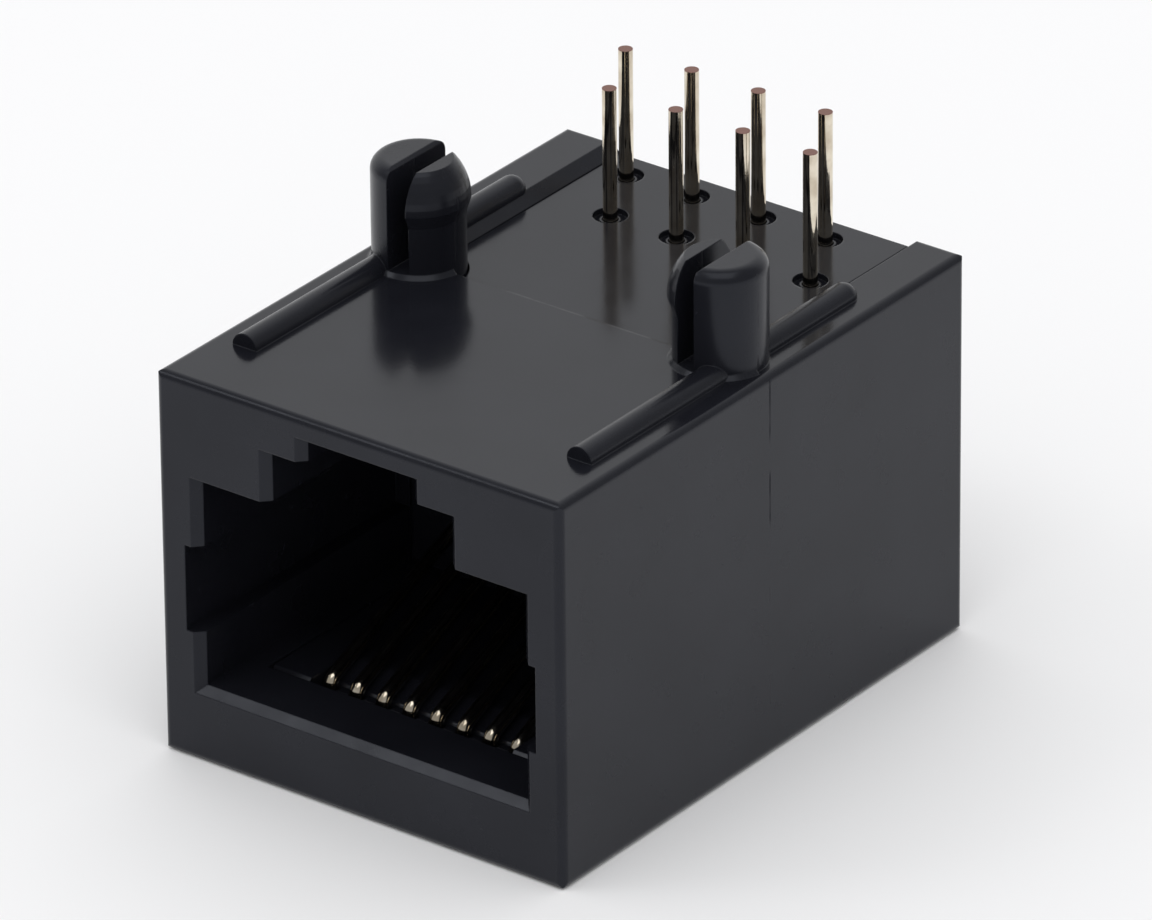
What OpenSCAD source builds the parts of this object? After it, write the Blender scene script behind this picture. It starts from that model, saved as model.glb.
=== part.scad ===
// Board jack for an eight-way modular plug: right-angle, unshielded, for through-hole mounting.
//
// Z = 0 is the surface of the circuit board, which the crests of the two ribs touch; the board is
// on the +Z side, with the pegs and the contact tails through it. X = 0, Y = 0 is midway between
// the two pegs. The plug enters from the front, towards +Y, and its latch is on the board side.
// The housing is one moulding. The contact insert slides into it from the rear and snaps home.
// Eight round wires are the contacts: each is a tail, a run along the insert and a spring leg.

/* [Body] */
// Width of the body
body_w = 15.24; // [14.8:0.02:18.4]
// Height of the body, from its board face to its back face
body_h = 13; // [12.8:0.05:16]
// Length of the body in front of the peg line
front_len = 10.6; // [10.2:0.05:13]
// Length of the body behind the peg line
rear_len = 10.05; // [9.9:0.05:13]
// Radius of the body's outer edges
edge_r = 0.25; // [0.1:0.05:0.5]

/* [Plug opening] */
// Width of the opening for the plug's body
plug_w = 12.2; // [11.9:0.05:12.6]
// Height of the opening for the plug's body
plug_h = 7.12; // [6.9:0.02:7.4]
// Width of the step above the plug's body, which the latch's wings pass through
latch_w = 6.8; // [6.4:0.05:7.4]
// Height of that step
latch_h = 1.77; // [1.6:0.01:1.9]
// Width of the notch for the latch's stem
notch_w = 4.04; // [3.6:0.02:4.6]
// Height of that notch
notch_h = 0.83; // [0.6:0.01:0.9]
// Wall between the notch and the board face
notch_wall = 0.7; // [0.6:0.05:1]
// Depth of the front wall that the latch's wings catch behind
catch_t = 2.2; // [1.6:0.1:2.6]
// Depth of the relief in each side wall of the opening
side_relief = 0.54; // [0.2:0.02:0.7]
// Height of that relief
side_relief_h = 2.92; // [2:0.02:4]
// Distance from the opening's floor to that relief
side_relief_z = 1.82; // [1:0.02:2.2]
// Flare of the opening's upright edges at the front face
flare = 0.29; // [0.1:0.01:0.4]
// Bevel along the front edge of the opening's floor
lip_bevel = 0.27; // [0.1:0.01:0.4]

/* [Board side] */
// Distance between the centres of the two pegs
peg_pitch = 11.43; // [11.2:0.01:11.6]
// Diameter of a peg's shank
peg_d = 2.95; // [2.6:0.05:3.1]
// Width of the slot that splits a peg
peg_slot = 0.7; // [0.4:0.02:0.9]
// Distance of that slot from the peg's axis, towards the middle of the jack
slot_shift = 0.27; // [0:0.01:0.35]
// Height of a peg's plain outer half above the board surface
peg_h = 3.06; // [2.4:0.02:3.8]
// Radius of the shoulder on a peg's plain outer half
peg_shoulder = 0.42; // [0.2:0.02:0.6]
// Bevel along the plain half's top edge at the slot
slot_bevel = 0.1; // [0.04:0.01:0.16]
// Bevel round the foot of a peg
foot_bevel = 0.14; // [0.06:0.01:0.2]
// Thickness of the board that the barbs snap behind
board_t = 1.24; // [0.8:0.02:1.6]
// Height at which a barb is widest
barb_z = 1.69; // [1.65:0.01:1.9]
// How far a barb stands out from the shank
barb = 0.145; // [0.05:0.005:0.25]
// Height of a peg's barbed inner half
barb_top = 2.98; // [2.5:0.02:3.6]
// Radius of the barbed half's tip
barb_tip_r = 1.2; // [1:0.02:1.35]
// Bevel round that tip
tip_bevel = 0.1; // [0.04:0.01:0.16]
// Radius of the standoff ribs, which is also the gap between the board face and the board
rib_r = 0.46; // [0.3:0.02:0.6]
// Distance between the centre lines of the two ribs
rib_pitch = 12.62; // [12.5:0.02:13]
// Length of a rib in front of the peg line
rib_front = 7.9; // [4:0.1:9]
// Length of a rib behind the peg line
rib_rear = 5.9; // [3:0.1:8]

/* [Insert] */
// Depth of the insert's board face below the housing's board face
insert_sink = 0.35; // [0.2:0.05:0.5]
// Distance from the counterbore of an end tail to the housing's lip beside it
foot_margin = 0.55; // [0.4:0.05:0.7]
// How far each of those lips reaches over the insert's block
lip_w = 0.55; // [0.4:0.05:0.7]
// Sideways run of the sloping edges of those lips
lip_slope = 0.38; // [0.2:0.02:0.6]
// Thickness of the lips that hold the insert in
lip_t = 0.89; // [0.7:0.01:1.2]
// How far in front of the peg line the insert's block begins
block_front = 0.2; // [0:0.05:0.5]
// Distance from the floor of the opening to the underside of the insert's arm
arm_t = 1.42; // [1.36:0.01:1.6]
// Distance from a side of the plug opening to the insert's arm below it
arm_side = 0.8; // [0.6:0.05:1.1]
// Distance from the front face to the shoulders at the end of the arm
arm_setback = 2.3; // [2:0.05:2.8]
// Bevel on the front edges of those shoulders
shoulder_bevel = 0.25; // [0.1:0.05:0.4]
// Clearance round the insert in the housing
insert_gap = 0.05; // [0.02:0.01:0.1]
// How far a snap on the insert's side stands out
snap_h = 0.35; // [0.2:0.05:0.45]
// Length of a snap's ramp
snap_len = 1.8; // [1:0.1:2.5]
// Height of a snap
snap_w = 2.4; // [1:0.1:3]
// Distance from the peg line to a snap's catch face
snap_y = 5.2; // [4:0.1:6]

/* [Contacts] */
// Diameter of the contact wire
wire_d = 0.46; // [0.4:0.01:0.48]
// Clearance between a wire and the insert
wire_gap = 0.03; // [0.02:0.01:0.05]
// Distance between neighbouring contacts in the plug opening
contact_pitch = 1.02; // [1:0.01:1.04]
// Distance sideways between a tail and the next, which is in the other row
tail_pitch = 1.27; // [1.2:0.01:1.3]
// Distance from the peg line to the near row of tails
near_row_y = 6.35; // [6:0.05:6.6]
// Distance from the near row to the far row of tails
row_gap = 2.54; // [2.4:0.02:2.6]
// Height of the tails above the board surface
tail_h = 3.55; // [2.5:0.05:4.5]
// Diameter of the shallow counterbore round each tail
counterbore_d = 1.11; // [0.9:0.01:1.2]
// Depth of that counterbore
counterbore_t = 0.2; // [0.1:0.02:0.4]
// Diameter of the collar that is left round the wire in the counterbore
collar_d = 0.68; // [0.6:0.02:0.76]
// Height of that collar
collar_t = 0.08; // [0.04:0.01:0.1]
// Thickness of the insert's foot, which each tail passes through
foot_t = 1.5; // [1:0.05:2]
// Radius of the wire's bend from its tail to its run, at the wire's centre
heel_r = 0.7; // [0.5:0.05:0.9]
// Radius of the wire's bend round the nose of the arm, at the wire's centre
nose_r = 0.48; // [0.44:0.01:0.5]
// Distance from the front face to the centre of that bend
nose_setback = 3.52; // [3.3:0.02:3.8]
// Angle of the spring legs to the floor of the opening
leg_angle = 22; // [16:0.5:24]
// How far behind the peg line a spring leg ends
leg_end = 1.6; // [1:0.05:2]
// Depth of the comb that guides the ends of the spring legs
comb_depth = 2.6; // [2.4:0.05:3]

/* [Hidden] */

$fn = 48;
// How far a cutting tool runs past the face that it cuts
over = 1;
contact_count = 8;
// Steps in the curve of a barb from its widest place to its tip
curve_steps = 6;
// How much thicker than the wire its joints are
joint_swell = 0.005;

// Heights of the housing, from the board surface down
face_z = -rib_r;
back_z = face_z - body_h;
notch_z = face_z - notch_wall;
latch_z = notch_z - notch_h;
ceiling_z = latch_z - latch_h;
floor_z = ceiling_z - plug_h;
relief_z = floor_z + side_relief_z;

// The window between the lips, the pocket that the insert fills, and the insert inside it
window_w = (contact_count - 1) * tail_pitch + counterbore_d + 2 * foot_margin;
block_w = window_w + 2 * lip_w;
arm_w = plug_w - 2 * arm_side;
sunk_z = face_z - insert_sink;
lip_z = face_z - lip_t;
pocket_z = floor_z - arm_t - insert_gap;
arm_z = floor_z - arm_t;
arm_top_z = floor_z - insert_gap;
block_y = insert_gap - block_front;
insert_rear = rear_len - insert_gap;
arm_tip_y = arm_setback - front_len;
// How deep the pegs are rooted in the housing
peg_root = 1.75;
peg_root_z = face_z - peg_root;

// The wires
wire_r = wire_d / 2;
hole_d = wire_d + 2 * wire_gap;
groove_w = wire_d + 4 * wire_gap;
core_r = nose_r - wire_r - wire_gap;
run_gap = 3 * wire_gap;
nose_y = nose_setback - front_len;
run_z = arm_z + run_gap + wire_r;
nose_z = run_z + nose_r;
leg_y = nose_y - nose_r * sin(leg_angle);
leg_z = nose_z + nose_r * cos(leg_angle);
leg_len = (leg_end - leg_y) / cos(leg_angle);
leg_top_z = leg_z + leg_len * sin(leg_angle) + wire_d;
contact_field = contact_pitch * (contact_count - 1) / 2 + groove_w / 2;

// The fan, where the wires draw together from the tails' pitch to the contacts' pitch
// It starts where the near row's wires have run straight for a while past their heels
heel_run = 1.05;
fan_rear = near_row_y - heel_r - heel_run;
fan_front = -1.5;
fan_len = fan_rear - fan_front;

// Place across the jack of a tail and of a contact, counted from 0 at the -X side
function tail_x(i) = (i - (contact_count - 1) / 2) * tail_pitch;
function tail_y(i) = near_row_y + (i % 2 == 0 ? row_gap : 0);
function contact_x(i) = (i - (contact_count - 1) / 2) * contact_pitch;
// Angle of a wire in the fan to the straight runs before and after it
function fan_angle(i) = atan2(tail_x(i) - contact_x(i), fan_len);

// A block between two corners
module block(low, high) {
    translate(low)
        cube(high - low);
}

// A solid whose outline is drawn in Y and Z and which spans from x0 to x1
module across(x0, x1) {
    translate([x0, 0, 0])
        rotate([90, 0, 90])
            linear_extrude(height = x1 - x0)
                children();
}

// A solid whose outline is drawn in X and Z and which spans from y0 to y1
module along(y0, y1) {
    translate([0, y1, 0])
        rotate([90, 0, 0])
            linear_extrude(height = y1 - y0)
                children();
}

// A rectangle between two corners with rounded corners
module rounded_rect(low, high, r) {
    translate([low.x + r, low.y])
        square([high.x - low.x - 2 * r, high.y - low.y]);
    translate([low.x, low.y + r])
        square([high.x - low.x, high.y - low.y - 2 * r]);
    for (x = [low.x + r, high.x - r], y = [low.y + r, high.y - r])
        translate([x, y])
            circle(r);
}

// The outside of the housing: a block whose edges are rounded in all three views
module body_block() {
    half_w = body_w / 2;
    intersection() {
        along(-front_len, rear_len)
            rounded_rect([-half_w, back_z], [half_w, face_z], edge_r);
        across(-half_w, half_w)
            rounded_rect([-front_len, back_z], [rear_len, face_z], edge_r);
        translate([0, 0, back_z])
            linear_extrude(height = body_h)
                rounded_rect([-half_w, -front_len], [half_w, rear_len], edge_r);
    }
}

// A part of the plug opening that widens towards the front face
module flared_mouth(width, z0, z1, bevel) {
    half_w = width / 2;
    intersection() {
        translate([0, 0, z0 - bevel])
            linear_extrude(height = z1 - z0 + bevel)
                polygon([
                    [-half_w - flare, -front_len - over], [half_w + flare, -front_len - over],
                    [half_w + flare, -front_len], [half_w, -front_len + flare],
                    [-half_w, -front_len + flare], [-half_w - flare, -front_len]
                ]);
        across(-body_w / 2, body_w / 2)
            polygon([
                [-front_len - over, z1], [-front_len - over, z0 - bevel], [-front_len, z0 - bevel],
                [-front_len + bevel, z0], [-front_len + flare + over, z0],
                [-front_len + flare + over, z1]
            ]);
    }
}

// The space that the plug enters, as far as the insert's block
module plug_space() {
    y0 = -front_len - over;
    y1 = -block_front;
    along(y0, y1) {
        translate([-plug_w / 2, floor_z])
            square([plug_w, plug_h]);
        translate([-latch_w / 2, ceiling_z - over])
            square([latch_w, latch_h + over]);
        translate([-plug_w / 2 - side_relief, relief_z])
            square([plug_w + 2 * side_relief, side_relief_h]);
    }
    block([-notch_w / 2, y0, latch_z - over], [notch_w / 2, y1, notch_z]);
    block([-latch_w / 2, -front_len + catch_t, latch_z - over], [latch_w / 2, y1, notch_z]);
    flared_mouth(notch_w, latch_z - over, notch_z, 0);
    flared_mouth(latch_w, ceiling_z - over, latch_z, 0);
    flared_mouth(plug_w, floor_z, ceiling_z, lip_bevel);
}

// The pocket that the insert slides into from the rear
module insert_space() {
    y1 = rear_len + over;
    half_w = window_w / 2;
    along(-block_front, y1) {
        translate([-block_w / 2, pocket_z])
            square([block_w, lip_z - pocket_z]);
        polygon([
            [-half_w, lip_z - over], [half_w, lip_z - over], [half_w, sunk_z],
            [half_w + lip_slope, face_z], [half_w + lip_slope, over],
            [-half_w - lip_slope, over], [-half_w - lip_slope, face_z], [-half_w, sunk_z]
        ]);
    }
    block(
        [-arm_w / 2 - insert_gap, arm_tip_y - insert_gap, pocket_z],
        [arm_w / 2 + insert_gap, y1, floor_z + over]
    );
    for (side = [0, 1])
        mirror([side, 0, 0])
            snap(insert_gap);
}

// A snap on the insert's side, or with a clearance the pocket for it in the housing
module snap(gap) {
    x0 = block_w / 2 - insert_gap;
    translate([0, 0, (floor_z + ceiling_z) / 2 - snap_w / 2 - gap])
        linear_extrude(height = snap_w + 2 * gap)
            polygon([
                [x0 - over, snap_y - snap_len - 2 * gap], [x0, snap_y - snap_len - 2 * gap],
                [x0 + snap_h + gap, snap_y - gap], [x0 + snap_h + gap, snap_y + gap],
                [x0 - over, snap_y + gap]
            ]);
}

// A standoff rib: half round, cut square at the front and rounded at the rear
module rib() {
    translate([rib_pitch / 2, rib_rear - rib_r, face_z]) {
        rotate([90, 0, 0])
            cylinder(r = rib_r, h = rib_front + rib_rear - rib_r);
        rotate([45, 0, 0])
            sphere(rib_r);
    }
}

// Outline of a peg's plain half, from its axis outwards
module plain_outline() {
    peg_r = peg_d / 2;
    translate([0, peg_root_z])
        square([peg_r, peg_h - peg_shoulder - peg_root_z]);
    translate([0, peg_root_z])
        square([peg_r - peg_shoulder, peg_h - peg_root_z]);
    translate([peg_r - peg_shoulder, peg_h - peg_shoulder])
        intersection() {
            circle(peg_shoulder);
            square(peg_shoulder);
        }
}

// Outline of a peg's barbed half, from its axis outwards: above the barb it curves in to the tip
module barbed_outline() {
    peg_r = peg_d / 2;
    barb_r = peg_r + barb;
    inset = barb_r - barb_tip_r;
    rise = barb_top - tip_bevel - barb_z;
    curve_r = (inset * inset + rise * rise) / (2 * inset);
    turn = asin(rise / curve_r);
    polygon(concat(
        [[0, peg_root_z], [peg_r, peg_root_z], [peg_r, board_t]],
        [for (i = [0:curve_steps])
            [
                barb_r - curve_r * (1 - cos(turn * i / curve_steps)),
                barb_z + curve_r * sin(turn * i / curve_steps)
            ]
        ],
        [[barb_tip_r - tip_bevel, barb_top], [0, barb_top]]
    ));
}

// The bevelled foot of a peg, where it stands on the board face in front of the insert
module peg_foot() {
    peg_r = peg_d / 2;
    side_x = (body_w - peg_pitch) / 2;
    intersection() {
        rotate_extrude()
            polygon([
                [0, face_z - foot_bevel], [peg_r + 2 * foot_bevel, face_z - foot_bevel],
                [peg_r, face_z + foot_bevel], [0, face_z + foot_bevel]
            ]);
        block([-peg_d, -peg_d, face_z - over], [side_x, -block_front, face_z + over]);
    }
}

// One split peg: the barbed half faces the middle of the jack, the plain half faces outwards
module peg() {
    reach = peg_d;
    plain_x = peg_slot / 2 - slot_shift;
    barbed_x = -peg_slot / 2 - slot_shift;
    translate([peg_pitch / 2, 0, 0]) {
        intersection() {
            rotate_extrude()
                plain_outline();
            along(-reach, reach)
                polygon([
                    [plain_x, peg_root_z], [reach, peg_root_z], [reach, peg_h + over],
                    [plain_x + slot_bevel + over, peg_h + over],
                    [plain_x, peg_h - slot_bevel]
                ]);
        }
        intersection() {
            rotate_extrude()
                barbed_outline();
            block([-reach, -reach, peg_root_z], [barbed_x, reach, barb_top]);
        }
        translate([0, 0, peg_root_z])
            cylinder(d = peg_d, h = face_z - peg_root_z);
        peg_foot();
    }
}

// The moulded housing, with its pegs and ribs
module housing() {
    color("#505055") {
        difference() {
            body_block();
            plug_space();
            insert_space();
        }
        for (side = [0, 1])
            mirror([side, 0, 0]) {
                rib();
                peg();
            }
    }
}

// The insert's arm, which carries the wires forward: two shoulders with the nose between them
module arm() {
    rise = arm_top_z - nose_z - core_r * cos(leg_angle);
    slope_y = nose_y - core_r * sin(leg_angle);
    for (side = [0, 1])
        mirror([side, 0, 0])
            across(contact_field, arm_w / 2)
                polygon([
                    [arm_tip_y, arm_z], [block_y + over, arm_z], [block_y + over, arm_top_z],
                    [arm_tip_y + shoulder_bevel, arm_top_z], [arm_tip_y, arm_top_z - shoulder_bevel]
                ]);
    across(-contact_field, contact_field) {
        translate([nose_y, nose_z])
            circle(core_r);
        polygon([
            [nose_y, arm_z], [block_y + over, arm_z], [block_y + over, arm_top_z],
            [slope_y + rise / tan(leg_angle), arm_top_z],
            [slope_y, nose_z + core_r * cos(leg_angle)], [nose_y, nose_z]
        ]);
    }
}

// The fins that keep the wires apart round the nose
module fins() {
    width = contact_pitch - groove_w;
    fin_len = 0.5;
    fin_rise = 0.1;
    for (i = [1:contact_count - 1])
        translate([contact_x(i) - contact_pitch / 2, 0, 0])
            block(
                [-width / 2, nose_y - nose_r - wire_gap, arm_z],
                [width / 2, nose_y + fin_len, nose_z + fin_rise]
            );
}

// Everything that is cut from the insert for one wire
module wire_way(i) {
    angle = fan_angle(i);
    roof_z = run_z + wire_r + wire_gap;
    half = groove_w / 2;
    // Groove under the arm: straight from the nose, slanted in the fan, straight to the heel
    translate([contact_x(i), 0, 0])
        block([-half, nose_y - over, arm_z - over], [half, fan_front, roof_z]);
    translate([contact_x(i), fan_front, arm_z - over]) {
        rotate([0, 0, -angle])
            translate([-half, 0, 0])
                cube([groove_w, fan_len / cos(angle), roof_z - arm_z + over]);
        cylinder(d = hole_d, h = roof_z - arm_z + over);
    }
    translate([tail_x(i), fan_rear, arm_z - over])
        cylinder(d = hole_d, h = roof_z - arm_z + over);
    translate([tail_x(i), 0, 0]) {
        block([-half, fan_rear, arm_z - over], [half, tail_y(i), roof_z]);
        // Room for the bend at the heel
        block([-half, tail_y(i) - heel_r, arm_z - over], [half, tail_y(i), run_z + heel_r]);
        // Slot in the rear face, and hole through the foot
        block([-half, tail_y(i), arm_z - over], [half, insert_rear + over, sunk_z - foot_t]);
        translate([0, tail_y(i), arm_z - over])
            cylinder(d = hole_d, h = sunk_z - arm_z + 2 * over);
        // Counterbore, with a low collar round the wire
        translate([0, tail_y(i), sunk_z - counterbore_t])
            difference() {
                cylinder(d = counterbore_d, h = counterbore_t + over);
                cylinder(d = collar_d, h = collar_t);
            }
    }
    // Slot of the comb that guides the end of the spring leg
    translate([contact_x(i), 0, 0])
        block([-half, block_y - over, arm_top_z], [half, block_y + comb_depth, leg_top_z]);
}

// The insert that carries the contacts: a block with a foot on the board side and a forward arm
module contact_insert() {
    half_w = block_w / 2 - insert_gap;
    half_neck = window_w / 2 - insert_gap;
    color("#46464b")
        difference() {
            union() {
                block([-half_w, block_y, arm_z], [half_w, insert_rear, lip_z - insert_gap]);
                block([-half_neck, block_y, lip_z - over], [half_neck, insert_rear, sunk_z]);
                arm();
                fins();
                for (side = [0, 1])
                    mirror([side, 0, 0])
                        snap(0);
            }
            for (i = [0:contact_count - 1])
                wire_way(i);
            for (x = [-peg_pitch / 2, peg_pitch / 2])
                translate([x, 0, peg_root_z - insert_gap])
                    cylinder(d = peg_d + 2 * insert_gap, h = over - peg_root_z);
        }
}

// A bend of the wire: it starts at the origin along +Y and turns towards +X
module wire_bend(r, angle) {
    translate([r, 0, 0])
        rotate([0, 0, 180 - angle])
            rotate_extrude(angle = angle)
                translate([r, 0])
                    circle(wire_r);
}

// A straight of the wire: it starts at the origin along +Y
module wire_straight(length) {
    rotate([-90, 0, 0])
        cylinder(r = wire_r, h = length);
}

// A joint of the wire, a hair thicker than the wire, so that straights and bends merge in it
module wire_joint() {
    rotate([90, 0, 0])
        sphere(wire_r + joint_swell);
}

// One contact: tail, heel, run through the fan, bend round the nose and spring leg
module contact(i) {
    angle = fan_angle(i);
    slant = fan_len / cos(angle);
    color("#c9b98f") {
        // Tail, and the heel where it turns forwards
        translate([tail_x(i), tail_y(i), run_z + heel_r])
            cylinder(r = wire_r, h = tail_h - run_z - heel_r);
        translate([tail_x(i), tail_y(i) - heel_r, run_z])
            rotate([0, -90, 0])
                wire_bend(heel_r, 90);
        // Straight from the heel to the fan
        translate([tail_x(i), fan_rear, run_z]) {
            wire_straight(tail_y(i) - heel_r - fan_rear);
            wire_joint();
        }
        // The slanted straight of the fan
        translate([contact_x(i), fan_front, run_z]) {
            wire_joint();
            rotate([0, 0, -angle])
                wire_straight(slant);
        }
        // Straight to the nose, the bend round it and the spring leg
        translate([contact_x(i), nose_y, run_z]) {
            wire_straight(fan_front - nose_y);
            rotate([0, -90, 180])
                wire_bend(nose_r, 180 - leg_angle);
        }
        translate([contact_x(i), leg_y, leg_z]) {
            wire_joint();
            rotate([leg_angle, 0, 0])
                wire_straight(leg_len);
        }
    }
}

module contact_1() { contact(0); }
module contact_2() { contact(1); }
module contact_3() { contact(2); }
module contact_4() { contact(3); }
module contact_5() { contact(4); }
module contact_6() { contact(5); }
module contact_7() { contact(6); }
module contact_8() { contact(7); }

housing();
contact_insert();
contact_1();
contact_2();
contact_3();
contact_4();
contact_5();
contact_6();
contact_7();
contact_8();
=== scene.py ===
# %% [markdown]
# # A board jack for an eight-way modular plug
#
# The object is a black moulded connector about 21 mm long. It lies on its back, with its board side up,
# so that the split pegs and the eight solder tails point at the ceiling. Every solid part comes from the
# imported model, at its real size and in its real place, and this lesson gives each of them its finish.
# Blender works in metres, so one millimetre is 0.001 here.

# %% Load the frame
import math

import bmesh
import bpy
from mathutils import Matrix, Vector


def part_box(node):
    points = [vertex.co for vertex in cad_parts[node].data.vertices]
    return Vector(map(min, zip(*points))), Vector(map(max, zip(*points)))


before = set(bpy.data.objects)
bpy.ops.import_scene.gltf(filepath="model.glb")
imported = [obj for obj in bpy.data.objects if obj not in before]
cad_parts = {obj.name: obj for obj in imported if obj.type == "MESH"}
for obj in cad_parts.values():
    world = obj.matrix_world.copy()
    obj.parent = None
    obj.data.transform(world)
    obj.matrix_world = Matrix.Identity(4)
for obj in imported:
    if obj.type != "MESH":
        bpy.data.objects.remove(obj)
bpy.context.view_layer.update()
MM = 0.001

print("nodes:", sorted(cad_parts))

# %% [markdown]
# ## Measures of the jack
#
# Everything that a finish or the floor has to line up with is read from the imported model. The housing's
# box gives the height of the face that the jack lies on, and a contact's box gives the height of the cut
# tail ends. The board face is the top of the housing between the pegs. The housing's box reaches up to
# the pegs, so it can't give that height, but the insert lies a known step lower and can.

# %% Measures taken from the model
INSERT_SINK = 0.35 * MM
back_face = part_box("housing")[0].z
tail_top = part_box("contact_1")[1].z
board_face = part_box("contact_insert")[1].z + INSERT_SINK

print("the jack lies on", round(back_face / MM, 2), "mm, and its tails end at", round(tail_top / MM, 2), "mm")
print("its board face is at", round(board_face / MM, 2), "mm")

# %% [markdown]
# ## A small kit for node trees
#
# The materials and the room are node trees, and nodes take many lines to make one at a time. A Recipe
# makes a node, joins two sockets, and does the sums that masks need, so that each finish below reads as
# a short list of steps.


# %% Nodes in any tree
class Recipe:
    """Makes and joins the nodes of one tree, which it empties first."""

    def __init__(self, tree):
        self.tree = tree
        self.tree.nodes.clear()

    def add(self, kind, **settings):
        """Makes a node and sets its properties."""
        node = self.tree.nodes.new(kind)
        for key, value in settings.items():
            setattr(node, key, value)
        return node

    def join(self, source, out_name, target, in_name):
        """Links two sockets by name or by number."""
        self.tree.links.new(source.outputs[out_name], target.inputs[in_name])

    def split(self, source, out_name):
        """Takes a vector apart into X, Y and Z."""
        node = self.add("ShaderNodeSeparateXYZ")
        self.join(source, out_name, node, "Vector")
        return node

    def maths(self, operation, *values):
        """A Math node; each value is a number or a (node, output) pair."""
        node = self.add("ShaderNodeMath", operation=operation)
        for number, value in enumerate(values):
            if isinstance(value, tuple):
                self.join(value[0], value[1], node, number)
            else:
                node.inputs[number].default_value = value
        return node

    def remap(self, source, out_name, low, high, to_low, to_high):
        """Maps the range low to high onto to_low to to_high, and holds the value at the ends."""
        node = self.add("ShaderNodeMapRange")
        for name, value in zip(("From Min", "From Max", "To Min", "To Max"), (low, high, to_low, to_high)):
            node.inputs[name].default_value = value
        self.join(source, out_name, node, "Value")
        return node

    def ramp(self, source, out_name, stops):
        """A colour ramp with the given (position, colour) stops."""
        node = self.add("ShaderNodeValToRGB")
        elements = node.color_ramp.elements
        while len(elements) < len(stops):
            elements.new(0.5)
        for element, (position, colour) in zip(elements, stops):
            element.position = position
            element.color = (*colour, 1.0)
        self.join(source, out_name, node, "Fac")
        return node


# %% [markdown]
# ## The skeleton of a finish
#
# Every finish here has the same start: one Principled shader, and object coordinates turned into
# millimetres. Object coordinates stay with the piece when it is turned or exported, and in millimetres a
# noise scale is simply the number of features per millimetre.


# %% Materials, and how a node of the model gets one
class Finish(Recipe):
    """A new material with a Principled shader and object coordinates in millimetres."""

    def __init__(self, name):
        self.material = bpy.data.materials.new(name)
        self.material.use_nodes = True
        super().__init__(self.material.node_tree)
        self.output = self.add("ShaderNodeOutputMaterial")
        self.shader = self.add("ShaderNodeBsdfPrincipled")
        self.join(self.shader, "BSDF", self.output, "Surface")
        self.coordinates = self.add("ShaderNodeTexCoord")
        self.in_mm = self.add("ShaderNodeVectorMath", operation="SCALE")
        self.in_mm.inputs["Scale"].default_value = 1 / MM
        self.join(self.coordinates, "Object", self.in_mm, "Vector")

    def noise(self, scale, detail):
        """Noise whose scale is in features per millimetre."""
        node = self.add("ShaderNodeTexNoise")
        node.inputs["Scale"].default_value = scale
        node.inputs["Detail"].default_value = detail
        self.join(self.in_mm, "Vector", node, "Vector")
        return node

    def skin(self, scale, height, strength):
        """A bump of fine noise with the given height in millimetres, joined to the shader."""
        node = self.add("ShaderNodeBump")
        node.inputs["Strength"].default_value = strength
        node.inputs["Distance"].default_value = height * MM
        self.join(self.noise(scale, detail=2.0), "Fac", node, "Height")
        self.join(node, "Normal", self.shader, "Normal")
        return node


def dress(finish, *node_names):
    """Gives nodes of the model a finish in all their material slots."""
    for name in node_names:
        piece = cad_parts[name]
        if not piece.material_slots:
            piece.data.materials.append(finish.material)
        for material_slot in piece.material_slots:
            material_slot.material = finish.material
    print(finish.material.name, "on", ", ".join(node_names))


# %% [markdown]
# ## The parting line
#
# The two halves of the mould meet in a plane through the pegs, and leave a hairline up each side wall.
# It could be cut into the solid, but it is only about a tenth of a millimetre wide, so a mask makes a
# strip of the side walls rougher instead. Noise breaks the strip up, and it fades towards the back of
# the jack. All its places and widths are in millimetres.

# %% Where the halves of the mould meet
PARTING_Y = -0.1
PARTING_CORE = 0.02
PARTING_EDGE = 0.07
PARTING_ROUGHNESS = 0.8
PARTING_FADE_LOW = -8.0
PARTING_FADE_HIGH = -5.0
# A face looks along an axis where its normal's share of that axis is more than this
FACES_ALONG = 0.9


def parting_line(finish, place, facing):
    """The roughness of the hairline on the side walls, and nothing elsewhere."""
    from_line = finish.maths("SUBTRACT", (place, "Y"), PARTING_Y)
    off_line = finish.maths("ABSOLUTE", (from_line, "Value"))
    strip = finish.remap(off_line, "Value", PARTING_CORE, PARTING_EDGE, PARTING_ROUGHNESS, 0.0)
    sideways = finish.maths("ABSOLUTE", (facing, "X"))
    on_side = finish.maths("GREATER_THAN", (sideways, "Value"), FACES_ALONG)
    broken = finish.remap(finish.noise(0.7, detail=2.0), "Fac", low=0.4, high=0.6, to_low=0.2, to_high=1.0)
    worn = finish.remap(place, "Z", PARTING_FADE_LOW, PARTING_FADE_HIGH, to_low=0.4, to_high=1.0)
    line = finish.maths("MULTIPLY", (strip, "Result"), (on_side, "Value"))
    patchy = finish.maths("MULTIPLY", (broken, "Result"), (worn, "Result"))
    return finish.maths("MULTIPLY", (line, "Value"), (patchy, "Value"))


print("parting line at y =", PARTING_Y, "mm,", 2 * PARTING_EDGE, "mm wide with its soft edges")

# %% [markdown]
# ## Black moulded plastic
#
# The housing and the insert are moulded in a black nylon. Such a plastic is nearly black in itself, and
# what the eye sees is mostly the room mirrored dimly in its skin, so the base colour stays very dark
# and roughness does the work. The mould was polished where it made the board face, which mirrors the
# pegs and the tails clearly, and left duller nearly everywhere else. One mask tells the two apart: a
# polished place looks straight up and lies no higher than the board face, or a margin above it, which
# takes in the insert and the floor of the plug opening too. A Bevel node rounds the sharp edges of
# the solids by a few hundredths of a millimetre, as a real mould does.

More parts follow.
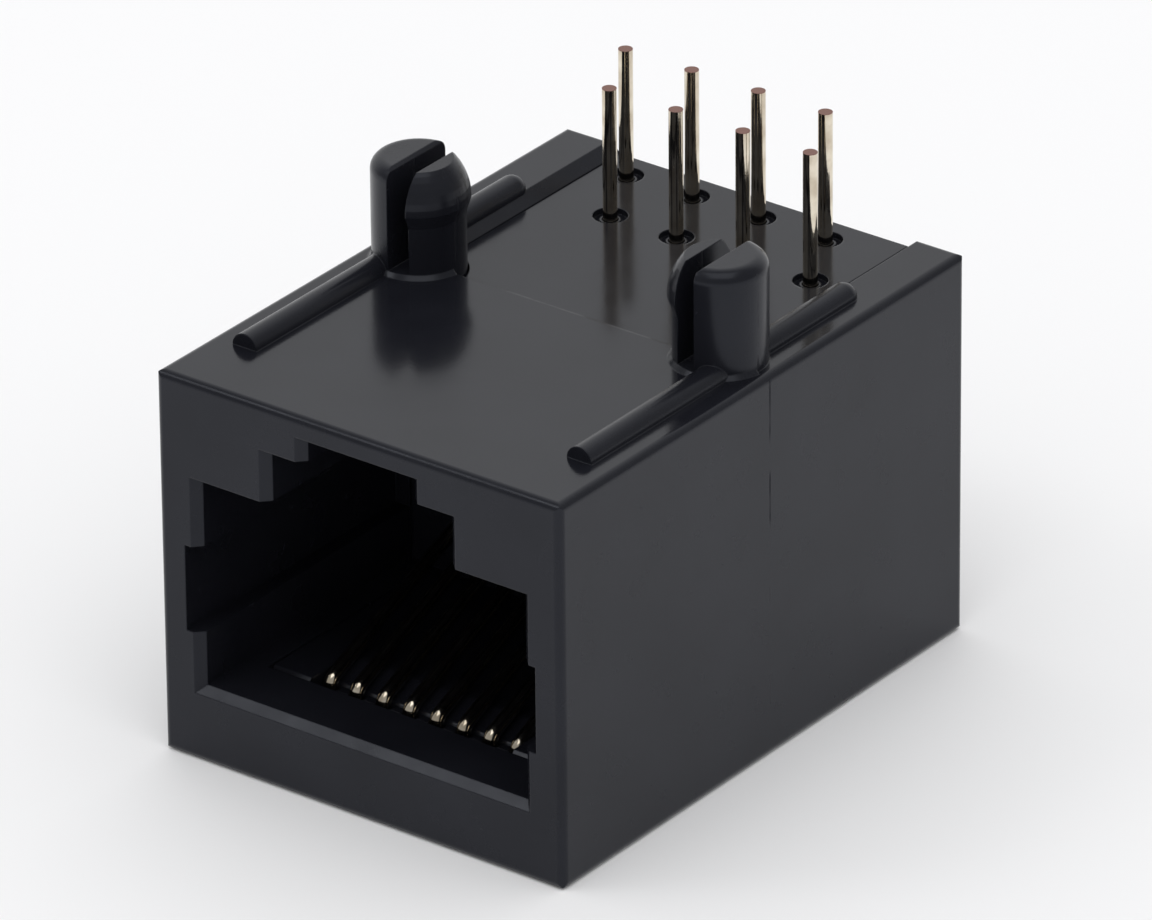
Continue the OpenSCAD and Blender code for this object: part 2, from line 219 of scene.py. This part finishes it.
# %% Values of the plastic
SKIN_IOR = 1.35
SKIN_TINT = (0.84, 0.88, 0.98, 1.0)
POLISHED = 0.15
DULL = 0.25
POLISH_MARGIN = 0.1
MOULD_RADIUS = 0.06 * MM
print("roughness", POLISHED, "up to", round(board_face / MM + POLISH_MARGIN, 2), "mm, and", DULL, "elsewhere")


# %% Plastic for the housing and the insert
def gloss_of_mould(finish, place, facing):
    """The roughness that the mould gave: low on the board face, higher elsewhere, uneven all over."""
    looks_up = finish.maths("GREATER_THAN", (facing, "Z"), FACES_ALONG)
    is_low = finish.maths("LESS_THAN", (place, "Z"), board_face / MM + POLISH_MARGIN)
    on_face = finish.maths("MULTIPLY", (looks_up, "Value"), (is_low, "Value"))
    zone = finish.remap(on_face, "Value", 0.0, 1.0, DULL, POLISHED)
    drift = finish.remap(finish.noise(0.8, detail=4.0), "Fac", low=0.15, high=0.85, to_low=0.75, to_high=1.25)
    return finish.maths("MULTIPLY", (zone, "Result"), (drift, "Result"))


def moulded_plastic(name, dark, light, grain):
    """Black nylon, whose colour drifts between dark and light; grain is the strength of its bump."""
    finish = Finish(name)
    cloud = finish.noise(0.35, detail=3.0)
    tone = finish.ramp(cloud, "Fac", [(0.3, dark), (0.7, light)])
    finish.join(tone, "Color", finish.shader, "Base Color")

    place = finish.split(finish.in_mm, "Vector")
    facing = finish.split(finish.coordinates, "Normal")
    gloss = gloss_of_mould(finish, place, facing)
    line = parting_line(finish, place, facing)
    roughness = finish.maths("MAXIMUM", (gloss, "Value"), (line, "Value"))
    finish.join(roughness, "Value", finish.shader, "Roughness")
    finish.shader.inputs["IOR"].default_value = SKIN_IOR
    finish.shader.inputs["Specular Tint"].default_value = SKIN_TINT

    edge = finish.add("ShaderNodeBevel", samples=6)
    edge.inputs["Radius"].default_value = MOULD_RADIUS
    skin = finish.skin(scale=9.0, height=0.01, strength=grain)
    finish.join(edge, "Normal", skin, "Normal")
    return finish


housing_plastic = moulded_plastic(
    "housing_plastic", dark=(0.0065, 0.0068, 0.0095), light=(0.0095, 0.01, 0.0135), grain=0.12
)
insert_plastic = moulded_plastic(
    "insert_plastic", dark=(0.006, 0.0063, 0.009), light=(0.009, 0.0095, 0.013), grain=0.1
)
dress(housing_plastic, "housing")
dress(insert_plastic, "contact_insert")

# %% [markdown]
# ## Plated contact wire
#
# The contacts are drawn wire with a pale gold plating. The plating was on before the wire was cut, so the
# cut ends of the tails show bare copper alloy. The ends could be given a second material slot, but that
# would change the model's mesh, so the cut is found by place: the wire turns copper above a height that
# is a hundredth of a millimetre below the top of the tails.

# %% Values of the wire
DARK_GOLD = (0.56, 0.48, 0.37)
PALE_GOLD = (0.78, 0.71, 0.58)
CUT_COPPER = (0.2, 0.1, 0.08, 1.0)
CUT_DEPTH = 0.01
WIRE_PREFIX = "contact_"
wire_names = [name for name in sorted(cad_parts) if name.removeprefix(WIRE_PREFIX).isdigit()]
print(len(wire_names), "wires")


# %% Plating for the eight contacts
def plated_wire(name):
    """Drawn wire with a gold plating, and bare copper on its cut ends."""
    finish = Finish(name)
    streaks = finish.noise(1.6, detail=4.0)
    gold = finish.ramp(streaks, "Fac", [(0.35, DARK_GOLD), (0.65, PALE_GOLD)])

    place = finish.split(finish.in_mm, "Vector")
    cut = finish.maths("GREATER_THAN", (place, "Z"), tail_top / MM - CUT_DEPTH)
    colour = finish.add("ShaderNodeMix", data_type="RGBA")
    colour.inputs["B"].default_value = CUT_COPPER
    finish.join(cut, "Value", colour, "Factor")
    finish.join(gold, "Color", colour, "A")
    finish.join(colour, "Result", finish.shader, "Base Color")

    gloss = finish.remap(finish.noise(3.0, detail=3.0), "Fac", low=0.3, high=0.7, to_low=0.06, to_high=0.13)
    finish.join(gloss, "Result", finish.shader, "Roughness")
    finish.shader.inputs["Metallic"].default_value = 1.0
    finish.skin(scale=12.0, height=0.005, strength=0.15)
    return finish


dress(plated_wire("contact_plating"), *wire_names)

# %% [markdown]
# ## The camera
#
# A small product is best seen from far away through a long lens, which keeps its edges almost parallel.
# The camera is placed by its direction and distance from a point inside the jack, and it leans by half a
# degree. The lamps are placed in the same way, so one function turns an azimuth and an elevation into a
# direction. Azimuth 0 is in front of the plug opening.

# %% Values of the camera
VIEW_AZIMUTH = 37.11
VIEW_ELEVATION = 27.46
VIEW_LEAN = -0.54
VIEW_DISTANCE = 385.7 * MM
LENS_LENGTH = 394.7
SENSOR_WIDTH = 36.0
AIM = Vector((0.17, 0.06, -5.65)) * MM


def direction(azimuth, elevation):
    """The unit vector from the jack towards a place, with both angles in degrees."""
    turn = math.radians(azimuth)
    rise = math.radians(elevation)
    return Vector((math.sin(turn) * math.cos(rise), -math.cos(turn) * math.cos(rise), math.sin(rise)))


# %% Camera
away = direction(VIEW_AZIMUTH, VIEW_ELEVATION)
camera_data = bpy.data.cameras.new("product_camera")
camera_data.lens = LENS_LENGTH
camera_data.sensor_width = SENSOR_WIDTH
camera_data.clip_start = 0.01
camera_data.clip_end = 10.0
camera = bpy.data.objects.new("product_camera", camera_data)
bpy.context.scene.collection.objects.link(camera)
camera.location = AIM + away * VIEW_DISTANCE
towards_jack = (-away).to_track_quat("-Z", "Y").to_matrix().to_4x4()
lean = Matrix.Rotation(math.radians(VIEW_LEAN), 4, "Z")
camera.rotation_euler = (towards_jack @ lean).to_euler()
bpy.context.scene.camera = camera
print("camera at", [round(v / MM, 1) for v in camera.location], "mm")

# %% [markdown]
# ## The floor
#
# The jack lies on a plain pale sheet of paper, far larger than the jack, so that no edge of it is seen.
# One grid face is enough. It lies a hundredth of a millimetre under the jack, because two faces at the
# same height show through each other in speckles.

# %% Floor
FLOOR_SIZE = 6.0
FLOOR_GAP = 0.01 * MM
PAPER_COLOUR = (0.86, 0.86, 0.87, 1.0)
PAPER_ROUGHNESS = 0.7


def make_floor(size, height):
    """A square of one face, size metres wide."""
    mesh = bpy.data.meshes.new("floor")
    shape = bmesh.new()
    bmesh.ops.create_grid(shape, x_segments=1, y_segments=1, size=size / 2)
    bmesh.ops.translate(shape, verts=shape.verts, vec=(0, 0, height))
    shape.to_mesh(mesh)
    shape.free()
    piece = bpy.data.objects.new("floor", mesh)
    bpy.context.scene.collection.objects.link(piece)
    return piece


floor = make_floor(FLOOR_SIZE, back_face - FLOOR_GAP)
paper = Finish("floor_paper")
paper.shader.inputs["Base Color"].default_value = PAPER_COLOUR
paper.shader.inputs["Roughness"].default_value = PAPER_ROUGHNESS
floor.data.materials.append(paper.material)
print("floor at", round((back_face - FLOOR_GAP) / MM, 2), "mm")

# %% [markdown]
# ## The room
#
# Black plastic shows its surroundings, so the surroundings are the real lighting. The room has a white
# backdrop behind the jack, which the board face mirrors, and grows dimmer towards the camera, which
# keeps the front dark. The dot product of two directions says how close they are, so that of a ray and
# the backdrop sets how bright the room is there.

# %% World
BACKDROP_STARTS = 0.15
BACKDROP_FULL = 0.7
ROOM_DIM = 0.35
ROOM_WHITE = 1.0
WHITE = (1.0, 1.0, 1.0, 1.0)
world = bpy.data.worlds.new("white_room")
bpy.context.scene.world = world
world.use_nodes = True
room = Recipe(world.node_tree)

behind = room.add("ShaderNodeVectorMath", operation="DOT_PRODUCT")
behind.inputs[1].default_value = -direction(VIEW_AZIMUTH, 0.0)
room.join(room.add("ShaderNodeTexCoord"), "Generated", behind, 0)
wall = room.remap(behind, "Value", BACKDROP_STARTS, BACKDROP_FULL, ROOM_DIM, ROOM_WHITE)
wall.interpolation_type = "SMOOTHSTEP"
seen = room.add("ShaderNodeBackground")
seen.inputs["Color"].default_value = WHITE
room.join(wall, "Result", seen, "Strength")
print("backdrop straight behind the jack, at azimuth", VIEW_AZIMUTH - 180)

# %% [markdown]
# ## Two kinds of ray
#
# The camera and the reflections see the room as it is, and a plain even white lights the surfaces. One
# world could do both, but then a whiter backdrop would also throw more light on the jack. The Light Path
# node tells the two kinds of ray apart, so each can be set without the other.

# %% Which rays see the room, and which the even light
EVEN_LIGHT = 0.93
lighting = room.add("ShaderNodeBackground")
lighting.inputs["Color"].default_value = WHITE
lighting.inputs["Strength"].default_value = EVEN_LIGHT
ray = room.add("ShaderNodeLightPath")
looks = room.maths("MAXIMUM", (ray, "Is Camera Ray"), (ray, "Is Glossy Ray"))
looks_or_glass = room.maths("MAXIMUM", (looks, "Value"), (ray, "Is Transmission Ray"))
choose = room.add("ShaderNodeMixShader")
room.join(looks_or_glass, "Value", choose, "Fac")
room.join(lighting, "Background", choose, 1)
room.join(seen, "Background", choose, 2)
room.join(choose, "Shader", room.add("ShaderNodeOutputWorld"), "Surface")
print("even light of strength", EVEN_LIGHT)

# %% [markdown]
# ## The lamps
#
# Two softboxes add what an even room can't: a wide one overhead lays a soft shadow round the jack, and a
# small one at the front left puts the bright points on the bends of the contacts. An area lamp's size
# sets how soft its shadow is and how large its mirror image looks, so the small one gives the points.


# %% Lamps
def softbox(name, azimuth, elevation, distance, size, power):
    """A square area lamp that looks at the jack: its size is in metres and its power in watts."""
    towards_lamp = direction(azimuth, elevation)
    lamp = bpy.data.lights.new(name, "AREA")
    lamp.size = size
    lamp.energy = power
    piece = bpy.data.objects.new(name, lamp)
    bpy.context.scene.collection.objects.link(piece)
    piece.location = AIM + towards_lamp * distance
    piece.rotation_euler = (-towards_lamp).to_track_quat("-Z", "Y").to_euler()
    print(name, "at", [round(v, 2) for v in piece.location], "m")


softbox("softbox_top", azimuth=40, elevation=72, distance=0.6, size=0.5, power=0.9)
softbox("softbox_front", azimuth=-49, elevation=45, distance=0.7, size=0.15, power=0.25)

# %% [markdown]
# ## The last step
#
# The view settings stay plain, so that a colour renders as it is written.

# %% View settings
bpy.context.scene.view_settings.view_transform = "Standard"
